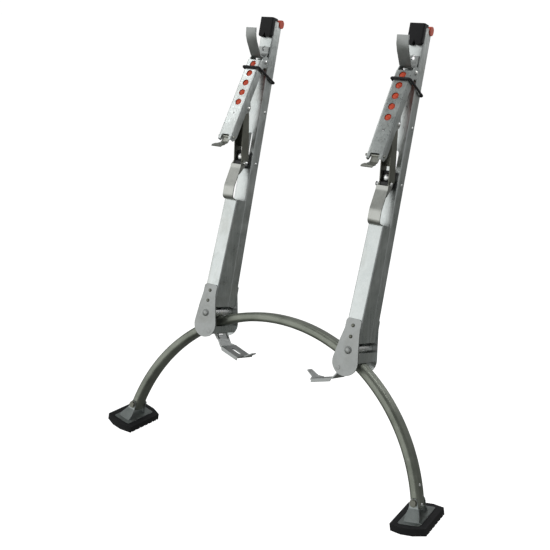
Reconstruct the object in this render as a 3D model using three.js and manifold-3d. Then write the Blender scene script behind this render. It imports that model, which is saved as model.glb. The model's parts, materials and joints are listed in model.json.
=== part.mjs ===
// A clip-on ladder leveller: an arched tube slides through two braked brackets, and an upright on
// each bracket hooks onto two rungs of a ladder. Millimetres, +Z up.
import * as THREE from 'three';
import { mergeVertices } from 'three/addons/utils/BufferGeometryUtils.js';
import Module from 'manifold-3d';

const wasm = await Module();
wasm.setup();

// ---- Driving dimensions ---------------------------------------------------------------------
// The leaning frame has its origin at the centre of the arch: x to the right, y towards the back,
// z up along the uprights. It leans back as the ladder does. In an upright's own frame x points
// from the upright's middle towards the middle of the object.
const LEAN_DEG = 15;
const GAP = 0.3;
const SHEET = 2;
const ARCH_RADIUS = 362;
const TUBE = { depth: 30, radial: 19, corner: 7, wall: 2.5 };
const FOOT_ANGLE_DEG = 75;
const UPRIGHT_SPACING = 346;
const CHANNEL = { width: 32.5, front: 14, back: 38.8, bottom: 358, top: 969, bend: 2.6 };
const WEDGE = { frontAtBottom: -37.5, frontAtTop: -18, top: 588 };
const HOOK = { width: 25, thick: 3, bowlRadius: 16.5, bowlY: -4.3, bowlZ: 905 };
const LEVER_PIVOT = { y: 1.5, z: 880 };
const LEVER = { width: 34, front: -16.5, back: 0.5, webTop: -4.5, length: 189, openDeg: 19 };
const LEVER_EAR_RADIUS = 12;
const DOT = { first: 14, pitch: 22.4, count: 5, radius: 7.2 };
const LINK_PIVOT = { along: 108, behind: 3, lug: 6 };
const LINK = { halfWidth: 10.5, thick: 1.6 };
const HOOK_PIVOT = { y: -10, z: 665 };
const PIN_RADIUS = 3;
const PIN_CLEARANCE = 0.3;
const DISC = { x: 2.5, z: 319.5, radius: 27.5 };
const PLATE = { front: -39.5, back: 40.6, thick: 3, top: 404 };
const ROLLER = { z: 343, radius: 12.2, bore: 5.3 };
const CAM = { x: 15, z: 306, radius: 7.4, bore: 4.1 };
const FOOT = { width: 72, depth: 106, drop: 26, forward: 9, thick: 12, tiltDeg: 10.7 };
const FIN_Y = 17.2;
const FOOT_BOLT_RADIUS = 4;

// ---- Materials ------------------------------------------------------------------------------
const paint = (color, roughness, metalness) =>
  new THREE.MeshStandardMaterial({ color, roughness, metalness });
const GALVANISED = paint(0xaab0ae, 0.4, 0.9);
const PLAIN_STEEL = paint(0x8f948f, 0.45, 0.9);
const TUBE_STEEL = paint(0x6d7063, 0.5, 0.8);
const BRIGHT_STEEL = paint(0xc9cecd, 0.25, 1);
const RUBBER = paint(0x17181b, 0.85, 0);
const ORANGE = paint(0xd4492b, 0.5, 0);
const NYLON = paint(0x2a2c2d, 0.6, 0);

// ---- Solids ---------------------------------------------------------------------------------
const rad = THREE.MathUtils.degToRad;
const axisX = new THREE.Vector3(1, 0, 0);
const axisY = new THREE.Vector3(0, 1, 0);
const axisZ = new THREE.Vector3(0, 0, 1);

// A closed geometry as a solid, wound so that its faces point out.
function solid(geometry) {
  const bare = geometry.clone();
  bare.deleteAttribute('normal');
  bare.deleteAttribute('uv');
  const welded = mergeVertices(bare, 1e-4);
  const points = welded.attributes.position.array;
  const corner = (i) => new THREE.Vector3().fromArray(points, 3 * i);
  const triangles = [];
  let volume = 0;
  for (let i = 0; i < welded.index.count; i += 3) {
    const [a, b, c] = welded.index.array.slice(i, i + 3);
    if (a !== b && b !== c && c !== a) {
      triangles.push([a, b, c]);
      volume += corner(a).dot(corner(b).cross(corner(c)));
    }
  }
  const wound = triangles.map(([a, b, c]) => (volume > 0 ? [a, b, c] : [a, c, b]));
  return new wasm.Manifold(new wasm.Mesh({
    numProp: 3,
    vertProperties: Float32Array.from(points),
    triVerts: Uint32Array.from(wound.flat()),
  }));
}

const join = (first, ...others) => others.reduce((sum, other) => sum.add(other), first);
const cut = (first, ...others) => others.reduce((rest, other) => rest.subtract(other), first);

function extrude(shape, depth, basis, offset) {
  const geometry = new THREE.ExtrudeGeometry(shape, { depth, bevelEnabled: false, curveSegments: 3 });
  geometry.applyMatrix4(new THREE.Matrix4().makeBasis(...basis).setPosition(offset));
  return solid(geometry);
}

// A shape drawn in (y, z) and drawn out along x.
const across = (shape, from, to) =>
  extrude(shape, to - from, [axisY, axisZ, axisX], new THREE.Vector3(from, 0, 0));
// A shape drawn in (x, z) and drawn out along y.
const deep = (shape, front, back) =>
  extrude(shape, back - front, [axisX, axisZ, axisY.clone().negate()], new THREE.Vector3(0, back, 0));
// A shape drawn in (x, y) and drawn out along z.
const tall = (shape, bottom, top) =>
  extrude(shape, top - bottom, [axisX, axisY, axisZ], new THREE.Vector3(0, 0, bottom));

const outline = (points) => new THREE.Shape(points.map(([u, v]) => new THREE.Vector2(u, v)));

function box(x0, x1, y0, y1, z0, z1) {
  return across(outline([[y0, z0], [y1, z0], [y1, z1], [y0, z1]]), x0, x1);
}

function roundedBox(u0, u1, v0, v1, radius) {
  const shape = new THREE.Shape();
  shape.absarc(u1 - radius, v1 - radius, radius, 0, rad(90));
  shape.absarc(u0 + radius, v1 - radius, radius, rad(90), rad(180));
  shape.absarc(u0 + radius, v0 + radius, radius, rad(180), rad(270));
  shape.absarc(u1 - radius, v0 + radius, radius, rad(270), rad(360));
  return shape;
}

function rodX(radius, from, to, y, z, sides = 12) {
  const geometry = new THREE.CylinderGeometry(radius, radius, to - from, sides);
  geometry.rotateZ(rad(90));
  geometry.translate((from + to) / 2, y, z);
  return solid(geometry);
}

function rodY(radius, front, back, x, z, sides = 12) {
  const geometry = new THREE.CylinderGeometry(radius, radius, back - front, sides);
  geometry.translate(x, (front + back) / 2, z);
  return solid(geometry);
}

// A turned piece about a y axis through (x, z): profile points are (radius, y).
function turned(profile, x, z, sides = 14) {
  const geometry = new THREE.LatheGeometry(profile.map(([r, y]) => new THREE.Vector2(r, y)), sides);
  geometry.translate(x, 0, z);
  return solid(geometry);
}

// The corners of a bent sheet's middle line, rounded: each inner corner is [u, v, bend radius].
function rounded(corners) {
  const path = [new THREE.Vector2(...corners[0].slice(0, 2))];
  for (let i = 1; i < corners.length - 1; i += 1) {
    const [u, v, radius] = corners[i];
    const here = new THREE.Vector2(u, v);
    const before = new THREE.Vector2(...corners[i - 1].slice(0, 2)).sub(here).normalize();
    const after = new THREE.Vector2(...corners[i + 1].slice(0, 2)).sub(here).normalize();
    const half = Math.acos(THREE.MathUtils.clamp(before.dot(after), -1, 1)) / 2;
    const reach = radius / Math.tan(half);
    const bend = new THREE.QuadraticBezierCurve(
      here.clone().addScaledVector(before, reach), here, here.clone().addScaledVector(after, reach));
    path.push(...bend.getPoints(3));
  }
  path.push(new THREE.Vector2(...corners.at(-1).slice(0, 2)));
  return path;
}

// The outline of a bent sheet of the given thickness along a middle line.
function sheet(path, thick) {
  const side = (sign) => path.map((point, i) => {
    const into = point.clone().sub(path[Math.max(i - 1, 0)]).normalize();
    const out = path[Math.min(i + 1, path.length - 1)].clone().sub(point).normalize();
    const along = into.clone().add(out).normalize();
    const stretch = 1 / Math.max(along.dot(i ? into : out), 0.5);
    const normal = new THREE.Vector2(-along.y, along.x);
    return point.clone().addScaledVector(normal, (sign * stretch * thick) / 2);
  });
  return new THREE.Shape([...side(1), ...side(-1).reverse()]);
}

const bentSheet = (corners, thick) => sheet(rounded(corners), thick);

// ---- Named meshes ---------------------------------------------------------------------------
function geometryOf(body, mirrored) {
  const { numProp, vertProperties, triVerts } = body.getMesh();
  const positions = [];
  for (let i = 0; i < vertProperties.length; i += numProp) {
    const x = vertProperties[i];
    positions.push(mirrored ? -x : x, vertProperties[i + 1], vertProperties[i + 2]);
  }
  const triangles = Array.from(triVerts);
  if (mirrored) {
    for (let i = 0; i < triangles.length; i += 3) {
      [triangles[i + 1], triangles[i + 2]] = [triangles[i + 2], triangles[i + 1]];
    }
  }
  const geometry = new THREE.BufferGeometry();
  geometry.setAttribute('position', new THREE.Float32BufferAttribute(positions, 3));
  geometry.setIndex(triangles);
  return geometry;
}

function named(name, body, material, mirrored = false) {
  const mesh = new THREE.Mesh(geometryOf(body, mirrored), material);
  mesh.name = name;
  return mesh;
}

// ---- The arch -------------------------------------------------------------------------------
function archRing(inset, cornerSteps) {
  const radial = TUBE.radial / 2 - inset;
  const depth = TUBE.depth / 2 - inset;
  const section = roundedBox(
    ARCH_RADIUS - radial, ARCH_RADIUS + radial, -depth, depth, TUBE.corner - inset).getPoints(cornerSteps);
  return solid(new THREE.LatheGeometry([...section, section[0]], 84));
}

function archTube() {
  const endDeg = FOOT_ANGLE_DEG + 1.8;
  const reach = 3 * ARCH_RADIUS;
  const side = reach * Math.sin(rad(endDeg));
  const foot = reach * Math.cos(rad(endDeg));
  const sector = deep(outline([[0, 0], [side, foot], [side, reach], [-side, reach], [-side, foot]]),
    -TUBE.depth, TUBE.depth);
  const boltHoles = [-1, 1].map((sign) => rodY(FOOT_BOLT_RADIUS + PIN_CLEARANCE, -TUBE.depth, TUBE.depth,
    sign * ARCH_RADIUS * Math.sin(rad(FOOT_ANGLE_DEG)), ARCH_RADIUS * Math.cos(rad(FOOT_ANGLE_DEG))));
  const stopDeg = FOOT_ANGLE_DEG - 4.6;
  const stops = [-1, 1].map((sign) => rodY(3.2, -TUBE.depth / 2 - 2, TUBE.depth / 2 + 2,
    sign * ARCH_RADIUS * Math.sin(rad(stopDeg)), ARCH_RADIUS * Math.cos(rad(stopDeg)), 12));
  const tube = cut(archRing(0, 2).intersect(sector), archRing(TUBE.wall, 1), ...boltHoles);
  return join(tube, ...stops);
}

// ---- Upright --------------------------------------------------------------------------------
// An open-backed channel with its web at the front, in (x, y).
function channelSection(width, front, back) {
  const side = (width - SHEET) / 2;
  return bentSheet([[-side, back], [-side, front + SHEET / 2, CHANNEL.bend],
    [side, front + SHEET / 2, CHANNEL.bend], [side, back]], SHEET);
}

const SLIDE_BOLT = { z: HOOK_PIVOT.z + 14, radius: 4, headRadius: 8.4 };

function upperChannel() {
  const slotShape = roundedBox(-4.8, 4.8, SLIDE_BOLT.z - 16, SLIDE_BOLT.z + 54, 4.7);
  return cut(
    tall(channelSection(CHANNEL.width, CHANNEL.front, CHANNEL.back), CHANNEL.bottom, CHANNEL.top),
    deep(slotShape, 0, 30),
    rodY(4.6, 0, 30, 0, 912),
  );
}

const wedgeSlope = (WEDGE.frontAtTop - WEDGE.frontAtBottom) / (WEDGE.top - CHANNEL.bottom);
const wedgeFront = (z) => WEDGE.frontAtBottom + wedgeSlope * (z - CHANNEL.bottom);

function lowerChannel() {
  const slanted = tall(channelSection(CHANNEL.width, 0, 90), -60, 300)
    .rotate([-THREE.MathUtils.radToDeg(Math.atan(wedgeSlope)), 0, 0])
    .translate([0, WEDGE.frontAtBottom, CHANNEL.bottom]);
  const behind = CHANNEL.front - GAP;
  return slanted.intersect(box(-50, 50, -90, behind, CHANNEL.bottom, WEDGE.top));
}

function upperHook() {
  const back = CHANNEL.front - GAP - HOOK.thick / 2;
  const { bowlY, bowlZ, bowlRadius } = HOOK;
  const bowl = [];
  for (let deg = 0; deg >= -126; deg -= 14) {
    bowl.push(new THREE.Vector2(
      bowlY + bowlRadius * Math.cos(rad(deg)), bowlZ + bowlRadius * Math.sin(rad(deg))));
  }
  const lip = [[-34, 914], [-41, 925], [-44.5, 941]].map(([y, z]) => new THREE.Vector2(y, z));
  const path = [new THREE.Vector2(back, 914.5), ...bowl, ...lip];
  const strap = across(sheet(path, HOOK.thick), -HOOK.width / 2, HOOK.width / 2);
  return cut(strap, rodY(4, 5, 30, 0, 909.5));
}

function topPad() {
  const half = CHANNEL.width / 2;
  const front = 4;
  const wrap = 22;
  const face = outline([[-half, 975], [-half, 939], [-12, 934.5], [-4, 934.5], [0, 943],
    [4, 934.5], [12, 934.5], [half, 939], [half, 975]]);
  const channelRoom = box(-CHANNEL.width / 2 - GAP, CHANNEL.width / 2 + GAP,
    CHANNEL.front - GAP, 60, 900, CHANNEL.top + GAP);
  const rounding = tall(roundedBox(-half, half, front, wrap + 10, 3.5), 900, 980);
  return cut(deep(face, front, wrap), channelRoom).intersect(rounding);
}

function endCap() {
  const profile = roundedBox(29, 45, 958.5, 976, 7.6);
  const slots = [-1, 1].map((sign) => {
    const middle = sign * (CHANNEL.width - SHEET) / 2;
    return box(middle - SHEET / 2 - GAP, middle + SHEET / 2 + GAP, 20, CHANNEL.back + GAP, 940,
      CHANNEL.top + GAP);
  });
  return cut(across(profile, -17.8, 17.8), ...slots);
}

// ---- Clamp lever ----------------------------------------------------------------------------
function leverBracket() {
  const half = 14.3;
  const base = CHANNEL.front - GAP;
  const { y, z } = LEVER_PIVOT;
  const ear = join(
    across(outline([[base, z - 14], [base, z + 5], [y, z + 7], [y, z - 7]]), -half, half),
    rodX(7, -half, half, y, z, 16),
  );
  return cut(ear,
    box(-half + SHEET, half - SHEET, -20, base - SHEET, z - 30, z + 30),
    rodX(PIN_RADIUS + PIN_CLEARANCE, -30, 30, y, z));
}

// A pin along x with a head at each end.
function crossPin(y, z, left, right, radius = PIN_RADIUS) {
  return join(
    rodX(radius, left, right, y, z),
    rodX(radius + 1.6, left, left + 1.8, y, z),
    rodX(radius + 1.6, right - 1.8, right, y, z),
  );
}

// The lever's own frame has its origin on the pivot and the lever hanging straight down.
function lever() {
  const half = LEVER.width / 2;
  const lugBack = LINK_PIVOT.behind + LINK_PIVOT.lug;
  const section = bentSheet([[-half + SHEET / 2, lugBack],
    [-half + SHEET / 2, LEVER.front + SHEET / 2, CHANNEL.bend],
    [half - SHEET / 2, LEVER.front + SHEET / 2, CHANNEL.bend], [half - SHEET / 2, lugBack]], SHEET);
  const sideView = join(
    across(outline([[LEVER.front, LEVER.webTop], [LEVER.back, 0],
      [LEVER.back, -LINK_PIVOT.along + 14], [lugBack, -LINK_PIVOT.along + 4],
      [lugBack, -LINK_PIVOT.along - 4], [LEVER.back, -LINK_PIVOT.along - 14],
      [LEVER.back, -LEVER.length + 12], [-6, -LEVER.length], [LEVER.front, -LEVER.length]]), -half, half),
    rodX(LEVER_EAR_RADIUS, -half, half, 0, 0, 20),
  );
  const ears = [-1, 1].map((sign) => {
    const plate = rodX(LEVER_EAR_RADIUS, 0, SHEET, 0, 0, 20);
    return plate.translate([sign > 0 ? half - SHEET : -half, 0, 0]);
  });
  const body = join(tall(section, -LEVER.length, LEVER_EAR_RADIUS).intersect(sideView), ...ears);
  const webAbove = box(-half + SHEET + 0.2, half - SHEET - 0.2, -30, LEVER.front + SHEET + 2,
    LEVER.webTop, 20);
  const dots = Array.from({ length: DOT.count }, (_, i) =>
    rodY(DOT.radius, -30, -10, 0, -DOT.first - i * DOT.pitch, 12));
  return cut(body, webAbove, ...dots,
    rodY(2, -30, -10, 0, -130, 12),
    deep(roundedBox(-9.6, 9.6, -LEVER.length - 10, -178, 2.5), -30, -13),
    rodX(PIN_RADIUS + PIN_CLEARANCE, -30, 30, 0, 0),
    rodX(PIN_RADIUS + PIN_CLEARANCE, -30, 30, LINK_PIVOT.behind, -LINK_PIVOT.along),
    rodX(CATCH.radius + PIN_CLEARANCE, -30, 30, CATCH.y, CATCH.z));
}

function leverInsert() {
  const front = LEVER.front + SHEET + GAP;
  return box(-8.4, 8.4, front, front + 2, -118, -7);
}

const CATCH = { y: -11.3, z: -181, radius: 2.5 };

// A finger catch that turns on its own cross pin, with a lip bent outwards under the lever.
function leverCatch() {
  const strip = bentSheet([[-9.5, -163], [-10.5, -195, 8], [-30, -210]], SHEET);
  return join(
    across(strip, -8.4, 8.4),
    across(bentSheet([[-21, -203.1], [-30, -210, 2], [-31.5, -213.5]], SHEET), -12, 12),
    rodX(CATCH.radius, -19, 21, CATCH.y, CATCH.z),
  );
}

// ---- Link, shoe and lower hook --------------------------------------------------------------
function leverPoint(behind, along) {
  const open = rad(LEVER.openDeg);
  return {
    y: LEVER_PIVOT.y - along * Math.sin(open) + behind * Math.cos(open),
    z: LEVER_PIVOT.z - along * Math.cos(open) - behind * Math.sin(open),
  };
}

const LINK_TOP = leverPoint(LINK_PIVOT.behind, LINK_PIVOT.along);

function link() {
  const { halfWidth, thick } = LINK;
  const top = LINK_TOP;
  const foot = HOOK_PIVOT;
  const cheek = outline([[foot.y + 6, foot.z - 3], [foot.y + 17, foot.z + 6], [foot.y + 17, foot.z + 14],
    [-16, 764], [-23.5, 783], [top.y + 1, top.z + 7.5], [top.y - 6, top.z + 4],
    [top.y - 6.8, top.z - 5], [-25, 708], [foot.y - 6, foot.z + 4]]);
  const cheeks = [-halfWidth, halfWidth - thick].flatMap((x) => [
    across(cheek, x, x + thick),
    rodX(6.4, x, x + thick, foot.y, foot.z, 16),
  ]);
  const spine = [[-5, 700], [-15.4, 755], [-22.6, 777]].map(([y, z]) => new THREE.Vector2(y, z));
  const web = across(sheet(spine, thick), -halfWidth, halfWidth);
  const bore = PIN_RADIUS + PIN_CLEARANCE;
  return cut(join(web, ...cheeks), rodX(bore, -30, 30, top.y, top.z), rodX(bore, -30, 30, foot.y, foot.z));
}

function slideShoe() {
  const { y, z } = HOOK_PIVOT;
  const profile = outline([[y - 4.4, z - 5], [8, z - 9], [8, z + 27], [-8, z + 27], [-8, z + 4.4],
    [y - 4.4, z + 4.4]]);
  return cut(across(profile, -8.3, 8.3),
    rodX(PIN_RADIUS + PIN_CLEARANCE, -30, 30, y, z),
    rodY(SLIDE_BOLT.radius + PIN_CLEARANCE, -30, 30, 0, SLIDE_BOLT.z));
}

function slideBolt() {
  const { radius, headRadius, z } = SLIDE_BOLT;
  const inFront = -8 - GAP;
  const behind = CHANNEL.front + SHEET + 0.8;
  return turned([[0, inFront - 4.6], [5, inFront - 4.2], [headRadius, inFront - 2.2],
    [headRadius, inFront], [radius, inFront], [radius, behind], [7.6, behind], [7.6, behind + 1.6],
    [5.2, behind + 1.6], [5.2, behind + 5], [0, behind + 5]], 0, z, 16);
}

function lowerHook() {
  const { y, z } = HOOK_PIVOT;
  const half = 12.9;
  const face = bentSheet([[-19.2, z - 3], [-19.6, z - 12, 20], [-31, 614, 26], [-31, 590, 10],
    [-20.6, 587.2]], 2.4);
  const ear = outline([[-18.4, z - 3], [y, z + 7], [y + 5, z + 5], [y + 7, z], [y + 4, z - 8],
    [-19.4, z - 24]]);
  const ears = [-half, half - SHEET].map((x) => across(ear, x, x + SHEET));
  return cut(join(across(face, -half, half), ...ears),
    rodX(PIN_RADIUS + PIN_CLEARANCE, -30, 30, y, z));
}

// ---- Elastic keeper band --------------------------------------------------------------------
function elasticBand() {
  const front = { y: -24.9, z: 864.5 };
  const rear = { y: 42, z: 844 };
  const length = Math.hypot(rear.y - front.y, rear.z - front.z);
  const slope = THREE.MathUtils.radToDeg(Math.atan2(rear.z - front.z, rear.y - front.y));
  const thick = 4.4;
  const half = LEVER.width / 2 + 3 * GAP + thick / 2;
  const ring = (grow, corner) =>
    roundedBox(-half - grow, half + grow, -grow, length + grow, corner);
  const band = cut(tall(ring(thick / 2, 5.6), -thick / 2, thick / 2),
    tall(ring(-thick / 2, 1.2), -thick, thick));
  return band.rotate([slope, 0, 0]).translate([0, front.y, front.z]);
}

// ---- Bracket and brake ----------------------------------------------------------------------
function tangentPoint(x, z, turn) {
  const dx = x - DISC.x;
  const dz = z - DISC.z;
  const angle = Math.atan2(dz, dx) + turn * Math.acos(DISC.radius / Math.hypot(dx, dz));
  return angle;
}

function plateOutline() {
  const half = CHANNEL.width / 2;
  const shoulder = 384;
  const right = tangentPoint(half, shoulder, -1);
  const left = tangentPoint(-half, shoulder, 1);
  const shape = new THREE.Shape();
  shape.moveTo(half, shoulder);
  shape.lineTo(half, PLATE.top - 4);
  shape.lineTo(half - 4, PLATE.top);
  shape.lineTo(-half + 4, PLATE.top);
  shape.lineTo(-half, PLATE.top - 4);
  shape.lineTo(-half, shoulder);
  const sweep = right + 2 * Math.PI - left;
  for (let i = 0; i <= 28; i += 1) {
    const angle = left + (sweep * i) / 28;
    shape.lineTo(DISC.x + DISC.radius * Math.cos(angle), DISC.z + DISC.radius * Math.sin(angle));
  }
  return shape;
}

const plateBores = () => [
  rodY(5 + PIN_CLEARANCE, -60, 60, 0, ROLLER.z),
  rodY(3.5 + PIN_CLEARANCE, -60, 60, CAM.x, CAM.z),
];

function frontPlate() {
  const bent = bentSheet([[PLATE.front, 280], [PLATE.front, 360, 30],
    [wedgeFront(PLATE.top) - PLATE.thick / 2 - GAP - 0.1, PLATE.top]], PLATE.thick);
  const rivets = [391, 369.5].map((z) => turned(
    [[0, -1.8], [2, -1.6], [3.4, -0.6], [3.4, 1], [0, 1]], 0, 0, 14)
    .translate([0, wedgeFront(z) - PLATE.thick - GAP, z]));
  const plate = cut(across(bent, -50, 50).intersect(deep(plateOutline(), -80, 0)), ...plateBores());
  return join(plate, ...rivets);
}

function rearPlate() {
  const front = PLATE.back - PLATE.thick / 2;
  const back = PLATE.back + PLATE.thick / 2;
  const reach = PLATE.front + PLATE.thick / 2 + GAP;
  const plate = cut(deep(plateOutline(), front, back), ...plateBores());
  return join(plate,
    box(23.2, 25.7, reach, back, 303.5, 318.2),
    box(-20.6, -18.1, reach, back, 320.5, 339));
}

function mainBolt() {
  const front = PLATE.front - PLATE.thick / 2 - GAP;
  const back = PLATE.back + PLATE.thick / 2 + GAP;
  return turned([[0, front - 3], [4, front - 2.6], [6.8, front - 1.2], [7.6, front], [5, front],
    [5, back], [8.2, back], [8.2, back + 5], [0, back + 5]], 0, ROLLER.z, 16);
}

function guideRoller() {
  const front = PLATE.front + PLATE.thick / 2 + 1;
  const back = PLATE.back - PLATE.thick / 2 - 1;
  return turned([[ROLLER.bore, front], [ROLLER.radius, front], [ROLLER.radius, back],
    [ROLLER.bore, back], [ROLLER.bore, front]], 0, ROLLER.z, 20);
}

// An eccentric that wedges against the underside of the tube.
function brakeCam() {
  const lobe = new THREE.Shape();
  for (let deg = 0; deg < 360; deg += 12) {
    const radius = CAM.radius + 0.4 * Math.cos(rad(deg - 117));
    lobe[deg ? 'lineTo' : 'moveTo'](
      CAM.x + radius * Math.cos(rad(deg)), CAM.z + radius * Math.sin(rad(deg)));
  }
  return cut(deep(lobe, -12.8, 12.8), rodY(CAM.bore, -30, 30, CAM.x, CAM.z));
}

const TREAD = { front: -18, stemBack: 22, back: 37, middle: 9.5 };

function pedal() {
  const thick = 2.5;
  const { front, stemBack, back, middle } = TREAD;
  const tread = bentSheet([[21.6, 298.8], [27, 290, 3], [36, 277, 3], [82, 263, 3], [104, 276]], thick);
  const plan = outline([[0, front], [83, front], [88, middle - 12], [108, middle - 7],
    [108, middle + 7], [88, middle + 12], [83, back], [37, back], [34, stemBack], [0, stemBack]]);
  const skirt = deep(outline([[37, 276.7], [81, 263.3], [81, 257.5], [40, 269.5]]), front, front + thick);
  const neck = outline([[20, 310], [21.6, 303], [28.3, 294.6], [27.2, 288], [22, 289.6],
    [10.4, 301.8]]);
  const ears = [-15.6, 15.6].flatMap((y) => [
    deep(neck, y, y + 2.4),
    rodY(7, y, y + 2.4, CAM.x, CAM.z, 16),
  ]);
  const strap = deep(tread, front, back).intersect(tall(plan, 200, 400));
  return cut(join(strap, skirt, ...ears),
    tall(roundedBox(48, 72, middle - 5, middle + 5, 4.9), 200, 400),
    rodY(CAM.bore, -30, 30, CAM.x, CAM.z));
}

function pedalPin() {
  const front = PLATE.front - PLATE.thick / 2 - GAP;
  const back = PLATE.back + PLATE.thick / 2 + GAP;
  return turned([[0, front - 0.4], [4.6, front - 0.3], [4.6, front], [3.5, front], [3.5, back],
    [5.4, back], [5.4, back + 1.2], [0, back + 1.8]], CAM.x, CAM.z);
}

// A torsion spring wound round the pedal pin, with a straight tail.
function pedalSpring() {
  const wire = 0.8;
  const coil = 5.4;
  const turns = 4;
  const path = [];
  for (let i = 0; i <= turns * 10; i += 1) {
    const angle = (2 * Math.PI * i) / 10;
    path.push(new THREE.Vector3(
      CAM.x + coil * Math.cos(angle), -35 + (i / 10) * 3.4, CAM.z + coil * Math.sin(angle)));
  }
  path.push(new THREE.Vector3(CAM.x + coil, -20.6, CAM.z + 8));
  const section = new THREE.Shape().absarc(0, 0, wire, 0, 2 * Math.PI);
  const geometry = new THREE.ExtrudeGeometry(section, {
    steps: Math.round(path.length * 1.2),
    curveSegments: 3,
    bevelEnabled: false,
    extrudePath: new THREE.CatmullRomCurve3(path),
  });
  return solid(geometry);
}

// ---- Feet -----------------------------------------------------------------------------------
// A foot's frame has its origin on the pivot. Its sole is level when the arch leans as the ladder does.
const level = (body) => body.rotate([LEAN_DEG, 0, 0]);

const SEAT = { half: 22, front: -49, back: 30 };

function footBracket() {
  const below = -FOOT.drop + GAP;
  const base = level(tall(roundedBox(-SEAT.half, SEAT.half, SEAT.front, SEAT.back, 4), below, below + 3));
  const fin = outline([[-17, -46], [14, -46], [13, -22], [9, -8], [8.5, 0], [4.5, 8], [-4.5, 8],
    [-8.5, 0], [-9, -8], [-16, -25]]);
  const fins = [-1, 1].map((sign) => {
    const splay = sign < 0 ? -22 : 8;
    const corners = [[sign * FIN_Y + splay, -46], [sign * FIN_Y, -10, 8], [sign * FIN_Y, 14]];
    return across(bentSheet(corners, 2.4), -40, 40).intersect(deep(fin, -60, 60));
  });
  const heel = level(box(-60, 60, -90, 90, -60, below));
  return cut(join(base, ...fins), heel,
    rodY(FOOT_BOLT_RADIUS + PIN_CLEARANCE, -60, 60, 0, 0));
}

function footBolt() {
  const reach = FIN_Y + 1.2 + GAP;
  return turned([[0, -reach - 4], [4, -reach - 3.6], [7, -reach - 1.6], [7, -reach],
    [FOOT_BOLT_RADIUS, -reach], [FOOT_BOLT_RADIUS, reach], [6.6, reach], [6.6, reach + 4],
    [0, reach + 4]], 0, 0);
}

function footPad() {
  const half = FOOT.width / 2;
  const front = -FOOT.forward - FOOT.depth / 2;
  const back = -FOOT.forward + FOOT.depth / 2;
  const bulge = 9;
  const shape = new THREE.Shape();
  shape.moveTo(-half, front + bulge);
  shape.quadraticCurveTo(0, front - bulge, half, front + bulge);
  shape.lineTo(half, back - bulge);
  shape.quadraticCurveTo(0, back + bulge, -half, back - bulge);
  const top = -FOOT.drop;
  const rim = 2.4;
  const seat = roundedBox(
    -SEAT.half - GAP, SEAT.half + GAP, SEAT.front - GAP, SEAT.back + GAP, 4 + GAP);
  const grooves = [-3, -2, -1, 0, 1, 2, 3].map((i) =>
    box(-60, 60, -FOOT.forward + 13 * i - 1.5, -FOOT.forward + 13 * i + 1.5, top - FOOT.thick - 2,
      top - FOOT.thick + 2.5));
  const pad = cut(tall(shape, top - FOOT.thick, top + rim), tall(seat, top, top + 10), ...grooves);
  return level(pad);
}

// ---- Assembly -------------------------------------------------------------------------------
function uprightGroup(side, mirrored) {
  const group = new THREE.Group();
  const pieces = {
    upper_channel: [upperChannel(), GALVANISED],
    lower_channel: [lowerChannel(), GALVANISED],
    upper_hook: [upperHook(), GALVANISED],
    top_pad: [topPad(), RUBBER],
    end_cap: [endCap(), ORANGE],
    lever_bracket: [leverBracket(), PLAIN_STEEL],
    lever_pin: [crossPin(LEVER_PIVOT.y, LEVER_PIVOT.z, -19.2, 19.2), BRIGHT_STEEL],
    link: [link(), PLAIN_STEEL],
    link_pin: [crossPin(LINK_TOP.y, LINK_TOP.z, -19.2, 19.2), BRIGHT_STEEL],
    slide_shoe: [slideShoe(), NYLON],
    slide_bolt: [slideBolt(), BRIGHT_STEEL],
    hook_pin: [crossPin(HOOK_PIVOT.y, HOOK_PIVOT.z, -15.2, 20), BRIGHT_STEEL],
    lower_hook: [lowerHook(), GALVANISED],
    elastic_band: [elasticBand(), RUBBER],
    front_plate: [frontPlate(), GALVANISED],
    rear_plate: [rearPlate(), GALVANISED],
    main_bolt: [mainBolt(), BRIGHT_STEEL],
    guide_roller: [guideRoller(), BRIGHT_STEEL],
    brake_cam: [brakeCam(), PLAIN_STEEL],
    pedal: [pedal(), GALVANISED],
    pedal_pin: [pedalPin(), BRIGHT_STEEL],
    pedal_spring: [pedalSpring(), PLAIN_STEEL],
  };
  for (const [name, [body, material]] of Object.entries(pieces)) {
    group.add(named(`${side}_${name}`, body, material, mirrored));
  }
  const swing = new THREE.Group();
  swing.position.set(0, LEVER_PIVOT.y, LEVER_PIVOT.z);
  swing.rotation.x = -rad(LEVER.openDeg);
  swing.add(named(`${side}_lever`, lever(), GALVANISED, mirrored));
  swing.add(named(`${side}_lever_insert`, leverInsert(), ORANGE, mirrored));
  swing.add(named(`${side}_lever_catch`, leverCatch(), PLAIN_STEEL, mirrored));
  group.add(swing);
  return group;
}

function footGroup(side, mirrored) {
  const group = new THREE.Group();
  group.rotation.y = (mirrored ? -1 : 1) * rad(FOOT.tiltDeg);
  group.add(named(`${side}_foot_bracket`, footBracket(), GALVANISED, mirrored));
  group.add(named(`${side}_foot_pad`, footPad(), RUBBER, mirrored));
  group.add(named(`${side}_foot_bolt`, footBolt(), BRIGHT_STEEL, mirrored));
  return group;
}

const leaning = new THREE.Group();
leaning.rotation.x = -rad(LEAN_DEG);
leaning.add(named('arch_tube', archTube(), TUBE_STEEL));
for (const [side, outward] of [['left', -1], ['right', 1]]) {
  const mirrored = outward > 0;
  const upright = uprightGroup(side, mirrored);
  upright.position.x = (outward * UPRIGHT_SPACING) / 2;
  leaning.add(upright);
  const foot = footGroup(side, mirrored);
  foot.position.x = outward * ARCH_RADIUS * Math.sin(rad(FOOT_ANGLE_DEG));
  foot.position.z = ARCH_RADIUS * Math.cos(rad(FOOT_ANGLE_DEG));
  leaning.add(foot);
}

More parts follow.
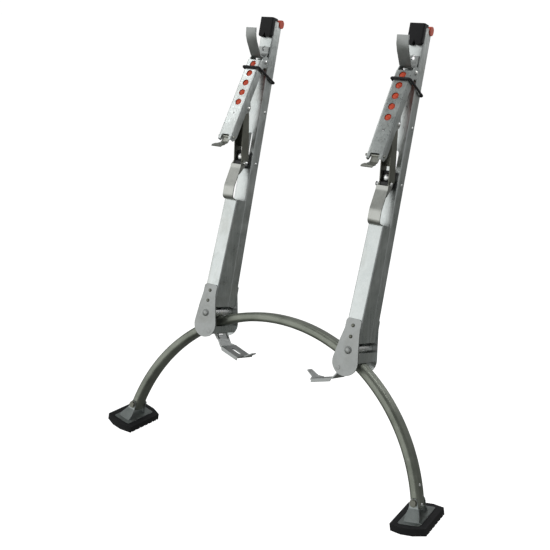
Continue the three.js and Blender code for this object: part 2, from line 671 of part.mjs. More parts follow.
// The object stands over its origin: the middle of its plan, at the level of the lowest sole edge.
const leveller = new THREE.Group();
leveller.add(leaning);
const extent = new THREE.Box3().setFromObject(leveller, true);
const middle = extent.getCenter(new THREE.Vector3());
leaning.position.set(-middle.x, -middle.y, -extent.min.z);

export default leveller;
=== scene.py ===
"""A clip-on ladder leveller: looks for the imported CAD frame."""
import json
import math

import bmesh
import bpy
from mathutils import Matrix, Vector


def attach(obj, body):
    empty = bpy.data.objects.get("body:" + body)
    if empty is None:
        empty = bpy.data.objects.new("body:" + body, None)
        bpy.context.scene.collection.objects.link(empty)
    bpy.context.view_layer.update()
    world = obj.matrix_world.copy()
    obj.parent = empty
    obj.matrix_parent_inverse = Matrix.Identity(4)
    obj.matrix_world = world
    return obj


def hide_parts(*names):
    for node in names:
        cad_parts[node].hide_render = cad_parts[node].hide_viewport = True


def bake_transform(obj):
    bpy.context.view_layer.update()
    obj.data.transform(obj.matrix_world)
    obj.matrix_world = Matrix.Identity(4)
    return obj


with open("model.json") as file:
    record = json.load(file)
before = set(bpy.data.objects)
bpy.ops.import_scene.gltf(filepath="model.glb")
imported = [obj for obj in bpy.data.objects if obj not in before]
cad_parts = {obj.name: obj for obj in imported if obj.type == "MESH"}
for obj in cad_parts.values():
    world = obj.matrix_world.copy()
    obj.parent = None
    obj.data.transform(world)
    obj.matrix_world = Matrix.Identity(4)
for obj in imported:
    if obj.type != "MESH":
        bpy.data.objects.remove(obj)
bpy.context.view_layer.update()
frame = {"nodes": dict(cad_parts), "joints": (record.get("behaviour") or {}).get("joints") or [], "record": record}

# ---- Frames -----------------------------------------------------------------------------------
# The leaning frame has its origin at the centre of the arch, in millimetres. In an upright's own
# frame x points towards the middle of the object.
joints = {j["name"]: j for j in frame["joints"]}
NORMAL = Vector(joints["arch_swing"]["axis"]).normalized()
UP = Vector((1, 0, 0)).cross(NORMAL).normalized()
LEAN = Matrix.Translation(Vector(joints["arch_swing"]["pos_m"])) @ Matrix(
    ((1, NORMAL.x, UP.x), (0, NORMAL.y, UP.y), (0, NORMAL.z, UP.z))
).to_4x4() @ Matrix.Scale(0.001, 4)
SIDES = {"left": -1, "right": 1}
UPRIGHT_X = 173
ARCH_RADIUS = 362
TUBE_RADIAL, TUBE_DEPTH, TUBE_CORNER, TUBE_WALL = 9.5, 15, 7, 2.5
FOOT_ANGLE = math.radians(75)
FOOT_TILT = math.radians(10.7)
LEVER_OPEN = math.radians(19)
# Places in an upright's frame.
LEVER_PIVOT = (0, 1.5, 880)
SLIDE_BOLT = (0, 0, 679)
MAIN_BOLT = (0, 0, 343)
PEDAL_PIN = (15, 0, 306)
# The front face of a bracket plate leans: its depth is known at one height, with a slope above.
PLATE_BASE_Z, PLATE_BASE_Y, PLATE_SLOPE = 358, -40.8, 19.5 / 230


def upright(side):
    """From an upright's own frame to the row frame. It mirrors on the right."""
    sign = SIDES[side]
    return LEAN @ Matrix.Translation((UPRIGHT_X * sign, 0, 0)) @ Matrix.Diagonal((-sign, 1, 1, 1))


def lever_frame(side):
    """From the frame of a lever that hangs straight down from its pivot."""
    return upright(side) @ Matrix.Translation(LEVER_PIVOT) @ Matrix.Rotation(-LEVER_OPEN, 4, "X")


def foot_frame(side):
    """From a foot's frame, with its origin on the pivot."""
    sign = SIDES[side]
    pivot = (ARCH_RADIUS * math.sin(FOOT_ANGLE) * sign, 0, ARCH_RADIUS * math.cos(FOOT_ANGLE))
    tilt = Matrix.Rotation(-sign * FOOT_TILT, 4, "Y")
    return LEAN @ Matrix.Translation(pivot) @ tilt @ Matrix.Diagonal((-sign, 1, 1, 1))


# ---- Materials --------------------------------------------------------------------------------
class Graph:
    """A material's nodes, all in row-frame metres so that detail has its real size."""

    def __init__(self, name, roughness, metallic):
        self.material = bpy.data.materials.new(name)
        self.material.use_nodes = True
        self.tree = self.material.node_tree
        self.shader = self.tree.nodes["Principled BSDF"]
        self.shader.inputs["Roughness"].default_value = roughness
        self.shader.inputs["Metallic"].default_value = metallic
        self.coords = self.tree.nodes.new("ShaderNodeTexCoord").outputs["Object"]

    def node(self, kind, **settings):
        made = self.tree.nodes.new(kind)
        for key, value in settings.items():
            setattr(made, key, value)
        return made

    def link(self, a, b):
        self.tree.links.new(a, b)

    def stretched(self, scale):
        mapping = self.node("ShaderNodeMapping")
        mapping.inputs["Scale"].default_value = scale
        self.link(self.coords, mapping.inputs["Vector"])
        return mapping.outputs["Vector"]

    def noise(self, scale, detail, rough, coords=None, distortion=0.0):
        noise = self.node("ShaderNodeTexNoise")
        noise.inputs["Scale"].default_value = scale
        noise.inputs["Detail"].default_value = detail
        noise.inputs["Roughness"].default_value = rough
        noise.inputs["Distortion"].default_value = distortion
        self.link(coords or self.coords, noise.inputs["Vector"])
        return noise.outputs["Fac"]

    def cells(self, scale):
        cells = self.node("ShaderNodeTexVoronoi")
        cells.inputs["Scale"].default_value = scale
        self.link(self.coords, cells.inputs["Vector"])
        return cells.outputs["Color"]

    def ramp(self, value, *stops):
        ramp = self.node("ShaderNodeValToRGB")
        elements = ramp.color_ramp.elements
        while len(elements) < len(stops):
            elements.new(0.5)
        for element, (position, colour) in zip(elements, stops):
            element.position = position
            element.color = (*colour, 1)
        self.link(value, ramp.inputs["Fac"])
        return ramp.outputs["Color"]

    def span(self, value, low, high, start, end):
        """Maps the value from start to end onto low to high."""
        reach = self.node("ShaderNodeMapRange")
        reach.inputs["From Min"].default_value = start
        reach.inputs["From Max"].default_value = end
        reach.inputs["To Min"].default_value = low
        reach.inputs["To Max"].default_value = high
        self.link(value, reach.inputs["Value"])
        return reach.outputs["Result"]

    def mix(self, factor, a, b, blend="MIX"):
        mix = self.node("ShaderNodeMix", data_type="RGBA", blend_type=blend)
        if isinstance(factor, (int, float)):
            mix.inputs["Factor"].default_value = factor
        else:
            self.link(factor, mix.inputs["Factor"])
        for value, socket in ((a, "A"), (b, "B")):
            entry = [i for i in mix.inputs if i.name == socket and i.type == "RGBA"][0]
            if isinstance(value, tuple):
                entry.default_value = (*value, 1)
            else:
                self.link(value, entry)
        return [o for o in mix.outputs if o.type == "RGBA"][0]

    def add(self, a, b, operation="ADD"):
        """Adds two values or sockets, or joins them by another operation."""
        math_node = self.node("ShaderNodeMath", operation=operation)
        for i, value in enumerate((a, b)):
            if isinstance(value, (int, float)):
                math_node.inputs[i].default_value = value
            else:
                self.link(value, math_node.inputs[i])
        return math_node.outputs["Value"]

    def bump(self, height, distance, strength):
        bump = self.node("ShaderNodeBump")
        bump.inputs["Distance"].default_value = distance
        bump.inputs["Strength"].default_value = strength
        self.link(height, bump.inputs["Height"])
        self.link(bump.outputs["Normal"], self.shader.inputs["Normal"])

    def colour(self, socket):
        self.link(socket, self.shader.inputs["Base Color"])

    def roughness(self, socket):
        self.link(socket, self.shader.inputs["Roughness"])


def plated_steel(name, low, high, roughness, grime):
    """Zinc-plated sheet: cloudy tone, fine rolling streaks, faint spangle and handling marks."""
    g = Graph(name, sum(roughness) / 2, 1.0)
    cloud = g.noise(22, 5, 0.6, distortion=0.4)
    streaks = g.noise(1, 3, 0.5, g.stretched((420, 420, 9)))
    spangle = g.cells(210)
    tone = g.ramp(g.add(g.add(cloud, 0.7, "MULTIPLY"), g.add(streaks, 0.3, "MULTIPLY")),
                  (0.3, low), (0.7, high))
    flecks = g.ramp(spangle, (0.2, (0.94, 0.94, 0.94)), (0.8, (1, 1, 1)))
    tone = g.mix(0.5, tone, flecks, "MULTIPLY")
    marks = g.ramp(g.noise(9, 6, 0.7, distortion=1.2),
                   (0.52, (1, 1, 1)), (0.68, (0.62, 0.6, 0.55)))
    g.colour(g.mix(grime, tone, marks, "MULTIPLY"))
    rough = g.add(g.add(streaks, 0.5, "MULTIPLY"), g.add(cloud, 0.5, "MULTIPLY"))
    g.roughness(g.span(rough, roughness[0], roughness[1], 0.35, 0.65))
    g.bump(g.add(g.add(streaks, 0.6, "MULTIPLY"), g.noise(1600, 2, 0.5)), 0.00004, 0.4)
    return g.material


def tube_finish():
    """The arch: olive-grey plated tube, drawn lines along the bend, worn by the rollers."""
    g = Graph("tube_steel", 0.42, 0.85)
    cloud = g.noise(16, 5, 0.6, distortion=0.5)
    fine = g.noise(420, 3, 0.6)
    tone = g.ramp(cloud, (0.3, (0.17, 0.185, 0.155)), (0.7, (0.30, 0.32, 0.275)))
    scuffs = g.ramp(g.noise(1, 4, 0.65, g.stretched((60, 260, 60))),
                    (0.58, (0, 0, 0)), (0.72, (1, 1, 1)))
    g.colour(g.mix(g.add(scuffs, 0.25, "MULTIPLY"), tone, (0.42, 0.43, 0.39)))
    g.roughness(g.span(g.add(g.add(cloud, 0.6, "MULTIPLY"), g.add(fine, 0.4, "MULTIPLY")),
                       0.34, 0.52, 0.3, 0.7))
    g.bump(fine, 0.00006, 0.4)
    return g.material


def rubber():
    """Black rubber, dusty in broad patches."""
    g = Graph("black_rubber", 0.7, 0.0)
    wide = g.noise(30, 5, 0.6)
    fine = g.noise(1100, 2, 0.5)
    g.colour(g.ramp(wide, (0.42, (0.007, 0.0075, 0.009)), (0.75, (0.024, 0.024, 0.025))))
    g.roughness(g.span(wide, 0.5, 0.8, 0.3, 0.7))
    g.bump(g.add(fine, g.add(wide, 0.6, "MULTIPLY")), 0.00012, 0.5)
    g.shader.inputs["Specular IOR Level"].default_value = 0.3
    return g.material


def orange_plastic():
    g = Graph("orange_plastic", 0.42, 0.0)
    wide = g.noise(60, 4, 0.6)
    g.colour(g.ramp(wide, (0.35, (0.62, 0.055, 0.014)), (0.65, (0.78, 0.09, 0.025))))
    g.roughness(g.span(wide, 0.34, 0.5, 0.3, 0.7))
    g.bump(g.noise(1500, 2, 0.5), 0.00005, 0.4)
    g.shader.inputs["Subsurface Weight"].default_value = 0.08
    g.shader.inputs["Subsurface Scale"].default_value = 0.002
    return g.material


def bright_zinc():
    """Bolts and pins: bright plating with a faint warm and cool bloom."""
    g = Graph("bright_zinc", 0.24, 1.0)
    bloom = g.noise(140, 4, 0.6, distortion=0.8)
    g.colour(g.ramp(bloom, (0.3, (0.60, 0.62, 0.64)), (0.55, (0.74, 0.75, 0.74)),
                    (0.75, (0.70, 0.68, 0.60))))
    g.roughness(g.span(bloom, 0.18, 0.34, 0.3, 0.7))
    g.bump(g.noise(1300, 2, 0.5), 0.00003, 0.35)
    return g.material


def nylon():
    g = Graph("black_nylon", 0.55, 0.0)
    wide = g.noise(80, 4, 0.6)
    g.colour(g.ramp(wide, (0.35, (0.02, 0.021, 0.022)), (0.7, (0.035, 0.036, 0.037))))
    g.roughness(g.span(wide, 0.45, 0.62, 0.3, 0.7))
    g.bump(g.noise(1400, 2, 0.5), 0.00006, 0.5)
    return g.material


def woven_band():
    """The keeper band: ribbed black elastic."""
    g = Graph("elastic_band", 0.8, 0.0)
    wave = g.node("ShaderNodeTexWave", wave_type="BANDS", bands_direction="DIAGONAL")
    wave.inputs["Scale"].default_value = 260
    wave.inputs["Distortion"].default_value = 1.5
    g.link(g.coords, wave.inputs["Vector"])
    g.colour(g.ramp(wave.outputs["Fac"],
                    (0.2, (0.012, 0.012, 0.014)), (0.9, (0.045, 0.045, 0.048))))
    g.bump(wave.outputs["Fac"], 0.0002, 0.6)
    return g.material


# Each plated steel's darkest and lightest tone, range of roughness and grime.
PLATED = {
    "galvanised_steel": ((0.42, 0.455, 0.45), (0.68, 0.71, 0.70), (0.24, 0.44), 0.4),
    "plain_steel": ((0.30, 0.31, 0.28), (0.45, 0.46, 0.42), (0.34, 0.5), 0.5),
    "bracket_plate": ((0.29, 0.305, 0.30), (0.42, 0.435, 0.43), (0.36, 0.52), 0.35),
    "foot_steel": ((0.22, 0.245, 0.24), (0.36, 0.39, 0.385), (0.36, 0.5), 0.45),
    "hook_steel": ((0.34, 0.35, 0.33), (0.5, 0.51, 0.48), (0.28, 0.44), 0.45),
    # The dark steel is partly painted shade: it darkens the link and the plate rivets for the shade of the recess
    # and of the holes.
    "dark_steel_and_shade": ((0.16, 0.165, 0.14), (0.25, 0.255, 0.22), (0.4, 0.56), 0.4),
}
STEELS = {name: plated_steel(name, *looks) for name, looks in PLATED.items()}
PLATE = STEELS["bracket_plate"]
DARK_STEEL_AND_SHADE = STEELS["dark_steel_and_shade"]
BAND = woven_band()
# The record's material slots.
MATERIALS = {
    "galvanised_steel": STEELS["galvanised_steel"],
    "plain_steel": STEELS["plain_steel"],
    "tube_steel": tube_finish(),
    "bright_steel": bright_zinc(),
    "black_rubber": rubber(),
    "orange_plastic": orange_plastic(),
    "black_nylon": nylon(),
}
slot_of = {s["node"]: s["material_slot"] for s in frame["record"]["subparts"]}


# ---- Building pieces --------------------------------------------------------------------------
BEVEL_SEGMENTS = 2
BEVEL_ANGLE = math.radians(32)


def finish_mesh(obj, bevel):
    """Rounds the edges with a bevel, in millimetres, and evens the shading."""
    if bevel:
        modifier = obj.modifiers.new("rounded_edges", "BEVEL")
        modifier.width = bevel * 0.001
        modifier.segments = BEVEL_SEGMENTS
        modifier.limit_method = "ANGLE"
        modifier.angle_limit = BEVEL_ANGLE
        modifier.use_clamp_overlap = True
        modifier.miter_outer = "MITER_ARC"
    for polygon in obj.data.polygons:
        polygon.use_smooth = True
    weighted = obj.modifiers.new("even_shading", "WEIGHTED_NORMAL")
    weighted.keep_sharp = False
    weighted.weight = 60


def piece(name, bm, transform, body, slot, stands_for=(), bevel=0.0, material=None):
    """A new object from a bmesh in its own millimetre frame, riding on a body if one is named."""
    bm.transform(transform)
    bmesh.ops.recalc_face_normals(bm, faces=bm.faces)
    mesh = bpy.data.meshes.new(name)
    bm.to_mesh(mesh)
    bm.free()
    obj = bpy.data.objects.new(name, mesh)
    bpy.context.scene.collection.objects.link(obj)
    mesh.materials.append(material or MATERIALS[slot])
    finish_mesh(obj, bevel)
    if body:
        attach(obj, body)
    if stands_for:
        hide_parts(*stands_for)
    return obj


def turned(bm, profile, centre=(0, 0, 0), axis="Y", steps=32):
    """Adds a turned solid: profile points are (radius, along), closed on the axis or on itself."""
    rings = []
    for radius, along in profile:
        ring = []
        count = 1 if radius == 0 else steps
        for i in range(count):
            a = 2 * math.pi * i / steps
            p = (radius * math.cos(a), along, radius * math.sin(a))
            if axis == "X":
                p = (along, radius * math.cos(a), radius * math.sin(a))
            if axis == "Z":
                p = (radius * math.cos(a), radius * math.sin(a), along)
            ring.append(bm.verts.new(Vector(p) + Vector(centre)))
        rings.append(ring)
    closed = profile[0][0] != 0
    pairs = list(zip(rings, rings[1:])) + ([(rings[-1], rings[0])] if closed else [])
    for a, b in pairs:
        for i in range(steps):
            j = (i + 1) % steps
            corners = [a[i % len(a)], a[j % len(a)], b[j % len(b)], b[i % len(b)]]
            corners = list(dict.fromkeys(corners))
            if len(corners) > 2:
                bm.faces.new(corners)


def hex_nut(bm, across_flats, start, end, centre=(0, 0, 0)):
    """Adds a nut or hexagon head along Y, with chamfered corners."""
    steps = 24
    flat_radius = across_flats / 2
    corner = across_flats / math.sqrt(3)
    chamfer = 0.45 * (corner - flat_radius)
    rows = [(start, flat_radius), (start + chamfer, corner), (end - chamfer, corner),
            (end, flat_radius)]
    rings = []
    for along, radius in rows:
        ring = []
        for i in range(steps):
            a = 2 * math.pi * i / steps
            within = (a + math.pi / 6) % (math.pi / 3) - math.pi / 6
            r = min(radius, flat_radius / math.cos(within))
            p = (r * math.cos(a), along, r * math.sin(a))
            ring.append(bm.verts.new(Vector(p) + Vector(centre)))
        rings.append(ring)
    for a, b in zip(rings, rings[1:]):
        for i in range(steps):
            bm.faces.new((a[i], a[(i + 1) % steps], b[(i + 1) % steps], b[i]))
    bm.faces.new(rings[0])
    bm.faces.new(list(reversed(rings[-1])))


def tube_along(bm, points, radius, sides, closed=False):
    """Adds a round tube along points, without twist."""
    points = [Vector(p) for p in points]
    count = len(points)
    rings = []
    side = None
    for i, point in enumerate(points):
        before = points[i - 1] if closed or i else point
        after = points[(i + 1) % count] if closed or i < count - 1 else point
        along = (after - before).normalized()
        if side is None:
            side = along.orthogonal().normalized()
        side = (side - along * side.dot(along)).normalized()
        other = along.cross(side)
        rings.append([bm.verts.new(point + radius * (side * math.cos(a) + other * math.sin(a)))
                      for a in (2 * math.pi * k / sides for k in range(sides))])
    for a, b in zip(rings, rings[1:]):
        for k in range(sides):
            bm.faces.new((a[k], a[(k + 1) % sides], b[(k + 1) % sides], b[k]))
    if closed:
        a, b = rings[-1], rings[0]
        shift = min(range(sides), key=lambda s: (a[0].co - b[s].co).length)
        for k in range(sides):
            bm.faces.new((a[k], a[(k + 1) % sides],
                          b[(k + 1 + shift) % sides], b[(k + shift) % sides]))
    else:
        bm.faces.new(rings[0])
        bm.faces.new(list(reversed(rings[-1])))


def dome(radius, height, base, direction):
    """A lathe profile from the axis over a domed head down to its base plane."""
    steps = 6
    angles = [math.pi / 2 * i / steps for i in range(steps + 1)]
    return [(radius * math.sin(a), base + direction * height * math.cos(a)) for a in angles]


# ---- The arch ---------------------------------------------------------------------------------
def arch():
    """One hollow tube with rounded corners, a little longer than the feet's pivots at each end."""
    bm = bmesh.new()
    end = FOOT_ANGLE + math.radians(1.8)
    steps, corner_steps = 168, 6

    def section(inset):
        radial, depth, corner = TUBE_RADIAL - inset, TUBE_DEPTH - inset, TUBE_CORNER - inset
        points = []
        for cx, cy, start in ((1, 1, 0), (-1, 1, 90), (-1, -1, 180), (1, -1, 270)):
            for k in range(corner_steps + 1):
                a = math.radians(start + 90 * k / corner_steps)
                points.append((cx * (radial - corner) + corner * math.cos(a),
                               cy * (depth - corner) + corner * math.sin(a)))
        return points

    outer, inner = section(0), section(TUBE_WALL)
    rows = {"outer": [], "inner": []}
    for i in range(steps + 1):
        a = -end + 2 * end * i / steps
        for key, points in (("outer", outer), ("inner", inner)):
            rows[key].append([bm.verts.new(((ARCH_RADIUS + u) * math.sin(a), v,
                                            (ARCH_RADIUS + u) * math.cos(a))) for u, v in points])
    count = len(outer)
    for key in rows:
        for a, b in zip(rows[key], rows[key][1:]):
            for k in range(count):
                bm.faces.new((a[k], a[(k + 1) % count], b[(k + 1) % count], b[k]))
    for i in (0, -1):
        for k in range(count):
            bm.faces.new((rows["outer"][i][k], rows["outer"][i][(k + 1) % count],
                          rows["inner"][i][(k + 1) % count], rows["inner"][i][k]))
    piece("arch_tube_skin", bm, LEAN, "arch", "tube_steel", ["arch_tube"])


def arch_studs():
    """Two rivets in the outer face of the tube near each end."""
    outside = ARCH_RADIUS + TUBE_RADIAL
    for side, sign in SIDES.items():
        bm = bmesh.new()
        for degrees, along in ((4.8, -4), (-0.8, -3)):
            angle = FOOT_ANGLE - math.radians(degrees)
            turn = Matrix.Rotation(sign * angle, 4, "Y") @ Matrix.Translation((0, along, outside))
            rivet = bmesh.new()
            turned(rivet, dome(3.4, 1.8, 0.2, 1) + [(3.4, -0.6), (0, -0.6)], axis="Z", steps=24)
            rivet.transform(turn)
            copy = bpy.data.meshes.new("rivet")
            rivet.to_mesh(copy)
            bm.from_mesh(copy)
            bpy.data.meshes.remove(copy)
            rivet.free()
        piece(f"{side}_stop_studs", bm, LEAN, "arch", "bright_steel")


# ---- Fixings ----------------------------------------------------------------------------------
def fixings(side):
    """Bolts, pins, rivets and the guide roller, as turned pieces with real heads."""
    place = upright(side)
    body = f"{side}_upright"

    bm = bmesh.new()
    shank = [(7.6, -41.9), (7.6, -41.3), (5, -41.3), (5, 42.4), (0, 42.4)]
    turned(bm, dome(6.8, 2.3, -42.0, -1) + shank, MAIN_BOLT)
    turned(bm, [(5, 42.4), (9.8, 42.4), (9.8, 43.6), (5, 43.6)], MAIN_BOLT)
    hex_nut(bm, 15, 43.6, 47.0, MAIN_BOLT)
    piece(f"{side}_main_bolt_skin", bm, place, body, "bright_steel", [f"{side}_main_bolt"], 0.2,
          material=PLATE)

    bm = bmesh.new()
    turned(bm, [(5.3, -37), (11.4, -37), (12.2, -36.2), (12.2, 37.3), (11.4, 38.1), (5.3, 38.1)],
           MAIN_BOLT, steps=48)
    piece(f"{side}_guide_roller_skin", bm, place, f"{side}_roller", "bright_steel",
          [f"{side}_guide_roller"], 0.2)

    bm = bmesh.new()
    shank = [(4.6, -41.3), (3.5, -41.3), (3.5, 42.4), (5.6, 42.4)]
    turned(bm, dome(4.6, 0.3, -41.4, -1) + shank + dome(5.6, 1.9, 42.6, 1)[::-1], PEDAL_PIN)
    piece(f"{side}_pedal_pin_skin", bm, place, body, "bright_steel", [f"{side}_pedal_pin"], 0.15,
          material=PLATE)

    bm = bmesh.new()
    turned(bm, dome(8.4, 4.4, -8.6, -1) + [(8.4, -8.3), (4, -8.3), (4, 17), (0, 17)], SLIDE_BOLT)
    turned(bm, [(4, 17), (8, 17), (8, 18.2), (4, 18.2)], SLIDE_BOLT)
    hex_nut(bm, 12, 18.2, 21.6, SLIDE_BOLT)
    piece(f"{side}_slide_bolt_skin", bm, place, f"{side}_shoe", "bright_steel",
          [f"{side}_slide_bolt"], 0.15)

    pins = (
        ("lever_pin", LEVER_PIVOT[1], LEVER_PIVOT[2], -19.2, 19.2, body),
        ("link_pin", -30.83, 776.9, -19.2, 19.2, f"{side}_lever"),
        ("hook_pin", -10, 665, -15.2, 20, f"{side}_shoe"),
    )
    for name, y, z, left, right, rides in pins:
        bm = bmesh.new()
        shank = [(4.5, left + 2.2), (3, left + 2.2), (3, right - 2.2), (4.5, right - 2.2)]
        heads = dome(4.5, 1.9, left + 1.9, -1), dome(4.5, 1.9, right - 1.9, 1)[::-1]
        turned(bm, heads[0] + shank + heads[1], (0, y, z), "X", 24)
        piece(f"{side}_{name}_skin", bm, place, rides, "bright_steel", [f"{side}_{name}"], 0.1)

    # The plate rivets are dark steel as painted shade: the dark dots of their holes are painted into the heads.
    bm = bmesh.new()
    for z in (391, 369.5):
        y = PLATE_BASE_Y + (z - PLATE_BASE_Z) * PLATE_SLOPE
        turned(bm, dome(3.7, 1.9, y - 0.4, -1) + [(3.7, y), (0, y)], (0, 0, z), steps=24)
    piece(f"{side}_plate_rivets", bm, place, body, "plain_steel", material=DARK_STEEL_AND_SHADE)

    bm = bmesh.new()
    for x, direction in ((-16.25, -1), (16.25, 1)):
        for y, z in ((30, 779), (28, 668)):
            inside = x - direction * 0.5
            turned(bm, dome(3.4, 1.5, x, direction) + [(3.4, inside), (0, inside)],
                   (0, y, z), "X", 20)
    piece(f"{side}_flange_rivets", bm, place, body, "bright_steel")

    bm = bmesh.new()
    reach = 18.7
    turned(bm, [(0, -reach), (7.6, -reach), (7.6, -reach - 1), (0, -reach - 1)])
    hex_nut(bm, 12, -reach - 4, -reach - 1)
    turned(bm, [(0, -reach), (4, -reach), (4, reach), (0, reach)], steps=24)
    turned(bm, [(0, reach), (7.2, reach), (7.2, reach + 1), (0, reach + 1)])
    hex_nut(bm, 12, reach + 1, reach + 4)
    piece(f"{side}_foot_bolt_skin", bm, foot_frame(side), f"{side}_foot", "bright_steel",
          [f"{side}_foot_bolt"], 0.12, material=DARK_STEEL_AND_SHADE)


def spring(side):
    """The pedal's torsion spring: four turns and a straight tail."""
    turns, steps, radius, pitch = 4, 24, 5.4, 3.4
    points = []
    for i in range(turns * steps + 1):
        a = 2 * math.pi * i / steps
        points.append((PEDAL_PIN[0] + radius * math.cos(a), -35 + i / steps * pitch,
                       PEDAL_PIN[2] + radius * math.sin(a)))
    points += [(20.5, -21.2, 308), (20.4, -20.7, 311), (20.4, -20.6, 314)]
    bm = bmesh.new()
    tube_along(bm, points, 0.8, 8)
    piece(f"{side}_pedal_spring_skin", bm, upright(side), f"{side}_upright", "plain_steel",
          [f"{side}_pedal_spring"])


def keeper_band(side):
    """An elastic ring round the lever and the upright, drawn tight at its corners."""
    front, rear = Vector((0, -24.9, 864.5)), Vector((0, 42, 844))
    along = (rear - front).normalized()
    length = (rear - front).length
    half, corner, corner_steps = 20.1, 4.2, 6
    flat = []
    for cx, cy, start in ((1, 1, 0), (-1, 1, 90), (-1, 0, 180), (1, 0, 270)):
        centre = Vector((cx * (half - corner), (length - corner) if cy else corner))
        for k in range(corner_steps + 1):
            a = math.radians(start + 90 * k / corner_steps)
            flat.append(centre + corner * Vector((math.cos(a), math.sin(a))))
    points = []
    for a, b in zip(flat, flat[1:] + flat[:1]):
        steps = max(1, round((b - a).length / 4))
        points += [a.lerp(b, k / steps) for k in range(steps)]
    ring = [front + Vector((p.x, 0, 0)) + along * p.y for p in points]
    bm = bmesh.new()
    tube_along(bm, ring, 2.3, 14, closed=True)
    place = upright(side)
    obj = piece(f"{side}_elastic_band_skin", bm, place, None, "black_rubber",
                [f"{side}_elastic_band"], material=BAND)
    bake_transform(obj)


def lever_studs(side):
    """Five domed orange studs that show through the lever's holes."""
    bm = bmesh.new()
    base, first, pitch = -13.6, -14, 22.4
    for i in range(5):
        turned(bm, dome(6.9, 3.2, base, -1) + [(6.9, base + 1), (0, base + 1)],
               (0, 0, first - i * pitch), steps=28)
    piece(f"{side}_lever_studs", bm, lever_frame(side), f"{side}_lever", "orange_plastic")


# ---- Carried-over CAD nodes -------------------------------------------------------------------
BEVELS = {
    "upper_channel": 0.35, "lower_channel": 0.4, "upper_hook": 0.55, "top_pad": 1.1, "end_cap": 1.0,
    "lever_bracket": 0.35, "lever": 0.35, "lever_insert": 0.3, "lever_catch": 0.35, "link": 0.3,
    "slide_shoe": 0.6, "lower_hook": 0.4, "front_plate": 0.5, "rear_plate": 0.5, "brake_cam": 0.4,
    "pedal": 0.45, "foot_bracket": 0.5, "foot_pad": 1.4,
}
OTHER_BEVEL = 0.3
# Where the photograph shows another tone than the slot's own.
FINISHES = {
    "front_plate": PLATE, "pedal": PLATE, "upper_hook": PLATE,
    "lower_hook": STEELS["hook_steel"], "foot_bracket": STEELS["foot_steel"],
    # The link is dark steel as painted shade: the shadow between the lever's flange and the rail is painted into
    # its colour. The lever bracket is dark steel too.
    "link": DARK_STEEL_AND_SHADE, "lever_bracket": DARK_STEEL_AND_SHADE,
}


def carried_over():
    """Rounded edges and a finish for each CAD node that still shows."""
    for name, obj in frame["nodes"].items():
        if obj.hide_render:
            continue
        obj.data.materials.clear()
        kind = name.split("_", 1)[1]
        obj.data.materials.append(FINISHES.get(kind, MATERIALS[slot_of[name]]))
        weld = obj.modifiers.new("weld", "WELD")
        weld.merge_threshold = 2e-6
        finish_mesh(obj, BEVELS.get(kind, OTHER_BEVEL))


# ---- Stage ------------------------------------------------------------------------------------
FLOOR_Z = -0.12
BACKDROP_RADIUS = 40


def stage_piece(name, bm, tone, glow):
    """A matt grey piece of the stage that shines by itself, so that it renders white."""
    mesh = bpy.data.meshes.new(name)
    bm.to_mesh(mesh)
    bm.free()
    obj = bpy.data.objects.new(name, mesh)
    bpy.context.scene.collection.objects.link(obj)
    g = Graph(name, 0.9, 0.0)
    g.shader.inputs["Base Color"].default_value = (tone, tone, tone, 1)
    g.shader.inputs["Emission Color"].default_value = (1, 1, 1, 1)
    g.shader.inputs["Emission Strength"].default_value = glow
    mesh.materials.append(g.material)
    return obj


def floor():
    """A white floor, low enough that a foot shows when the arch slides down on its side. It is
    left out of reflections, so that the steel shows dark sides as in the photograph."""
    bm = bmesh.new()
    bmesh.ops.create_grid(bm, x_segments=1, y_segments=1, size=200)
    obj = stage_piece("floor", bm, 0.7, 0.8)
    obj.location.z = FLOOR_Z
    obj.visible_glossy = False
    obj.visible_diffuse = False


def backdrop():
    """A white ring of wall that only the camera sees, so that no horizon shows."""
    bm = bmesh.new()
    bmesh.ops.create_cone(bm, segments=64, radius1=BACKDROP_RADIUS, radius2=BACKDROP_RADIUS,
                          depth=2 * BACKDROP_RADIUS)
    obj = stage_piece("backdrop", bm, 0.1, 1.0)
    for ray in ("diffuse", "glossy", "transmission", "volume_scatter", "shadow"):
        setattr(obj, f"visible_{ray}", False)


def light(name, side, energy, centre, look_at):
    data = bpy.data.lights.new(name, "AREA")
    data.shape = "SQUARE"
    data.size = side
    data.energy = energy
    obj = bpy.data.objects.new(name, data)
    bpy.context.scene.collection.objects.link(obj)
    obj.location = centre
    obj.rotation_mode = "QUATERNION"
    obj.rotation_quaternion = (Vector(look_at) - Vector(centre)).to_track_quat("-Z", "Y")
    obj.visible_camera = False


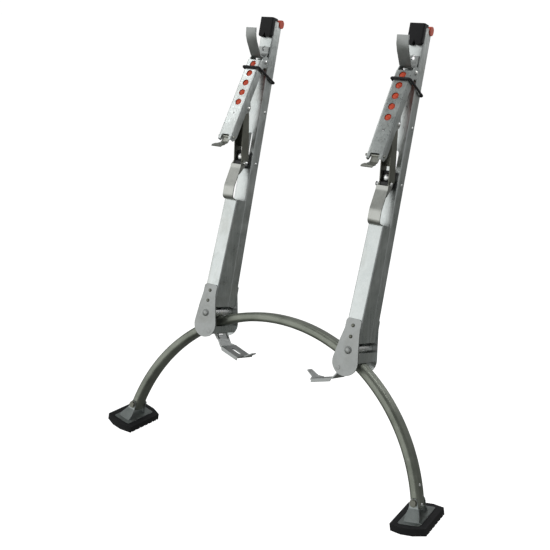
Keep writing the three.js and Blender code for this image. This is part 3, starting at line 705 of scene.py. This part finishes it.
def studio():
    """The room's light: bright towards the front left, and darker below the horizon."""
    world = bpy.data.worlds.new("studio")
    world.use_nodes = True
    tree = world.node_tree
    background = tree.nodes["Background"]
    direction = tree.nodes.new("ShaderNodeTexCoord").outputs["Generated"]

    facing = tree.nodes.new("ShaderNodeVectorMath")
    facing.operation = "DOT_PRODUCT"
    facing.inputs[1].default_value = Vector((-0.53, -0.83, 0.1)).normalized()
    tree.links.new(direction, facing.inputs[0])
    glow = tree.nodes.new("ShaderNodeMapRange")
    glow.interpolation_type = "SMOOTHSTEP"
    for socket, value in (("From Min", 0.6), ("From Max", 0.98), ("To Min", 0.42), ("To Max", 1.6)):
        glow.inputs[socket].default_value = value
    tree.links.new(facing.outputs["Value"], glow.inputs["Value"])
    tree.links.new(glow.outputs["Result"], background.inputs["Strength"])

    split = tree.nodes.new("ShaderNodeSeparateXYZ")
    tree.links.new(direction, split.inputs["Vector"])
    height = tree.nodes.new("ShaderNodeMapRange")
    height.inputs["From Min"].default_value = -1
    tree.links.new(split.outputs["Z"], height.inputs["Value"])
    tones = tree.nodes.new("ShaderNodeValToRGB")
    stops = tones.color_ramp.elements
    stops.new(0.6)
    stops.new(0.85)
    for stop, (position, tone) in zip(stops, ((0.42, (0.36, 0.37, 0.35)), (0.53, (1, 1, 1)),
                                              (0.62, (1, 1, 1)), (0.85, (0.46, 0.47, 0.46)))):
        stop.position = position
        stop.color = (*tone, 1)
    tree.links.new(height.outputs["Result"], tones.inputs["Fac"])
    tree.links.new(tones.outputs["Color"], background.inputs["Color"])
    bpy.context.scene.world = world
    bpy.context.scene.view_settings.view_transform = "Standard"


def camera():
    """At the photograph's angle: 34 degrees to the right of the front, 17 above the horizon."""
    distance = 1.7184
    data = bpy.data.cameras.new("camera")
    data.lens = 59.2
    data.sensor_width = 36
    obj = bpy.data.objects.new("camera", data)
    bpy.context.scene.collection.objects.link(obj)
    centre = Vector(joints["arch_swing"]["pos_m"])
    azimuth, elevation, roll = math.radians(34.0), math.radians(17.3), math.radians(1.3)
    back = Vector((math.sin(azimuth) * math.cos(elevation),
                   -math.cos(azimuth) * math.cos(elevation), math.sin(elevation)))
    target = centre + Vector((0.0345, 0, 0.4771))
    obj.location = target + back * distance
    obj.rotation_mode = "QUATERNION"
    facing = (-back).to_track_quat("-Z", "Y")
    obj.rotation_quaternion = facing @ Matrix.Rotation(roll, 3, "Z").to_quaternion()
    bpy.context.scene.camera = obj


camera()
arch()
arch_studs()
for side in SIDES:
    fixings(side)
    spring(side)
    keeper_band(side)
    lever_studs(side)
carried_over()
floor()
backdrop()
light("key", 0.34, 1.4, (-1.08, -0.48, 1.75), (-0.17, 0.05, 0.74))
light("top", 2.2, 14, (0.2, 0.3, 2.6), (0, 0, 0.45))
light("rim", 0.5, 4.5, (0.7, 1.3, 1.2), (0.1, 0, 0.35))
studio()
